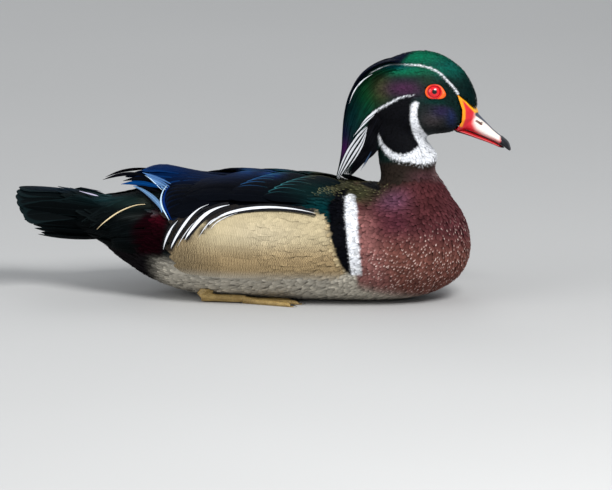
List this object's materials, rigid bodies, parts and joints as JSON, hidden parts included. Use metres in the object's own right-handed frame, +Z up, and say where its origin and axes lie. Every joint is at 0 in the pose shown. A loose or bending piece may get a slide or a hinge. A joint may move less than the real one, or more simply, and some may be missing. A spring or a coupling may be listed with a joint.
{
  "type": "wood duck",
  "caption": "Life-size still wood duck drake resting on its belly with feet tucked forward, long swept crest, folded wings, square tail.",
  "frame": {"origin": "on the floor, under the middle of the bird's bounding box", "axes": "+X from the tail towards the bill, +Y to the bird's left, +Z up"},
  "size_m": [0.3832, 0.1438, 0.1933],
  "materials": {
    "plumage_body": "soft feathers, chestnut to maroon with small pale specks, white under the belly",
    "plumage_head": "sleek feathers with a green and purple sheen and white lines",
    "plumage_wing": "smooth vanes, black with a blue and green sheen",
    "plumage_flank": "soft feathers, buff with fine dark waves, edged black and white",
    "bill_skin": "satin bill, red and white with a black ridge, a yellow rim and a black nail",
    "bill_dark": "satin dark bill",
    "eye": "glossy, red with a black pupil",
    "foot_skin": "scaled skin, dull yellow with dark webs"
  },
  "bodies": {
    "root": {"torso": "plumage_body", "neck": "plumage_body", "head": "plumage_head", "crest": "plumage_head", "bill_upper": "bill_skin", "bill_lower": "bill_dark", "eye_right": "eye", "eye_left": "eye", "wing_right": "plumage_wing", "wing_left": "plumage_wing", "flank_right": "plumage_flank", "flank_left": "plumage_flank", "tail": "plumage_wing", "rump_plumes_right": "plumage_wing", "rump_plumes_left": "plumage_wing", "leg_right": "foot_skin", "leg_left": "foot_skin", "foot_right": "foot_skin", "foot_left": "foot_skin"}
  },
  "joints": []
}
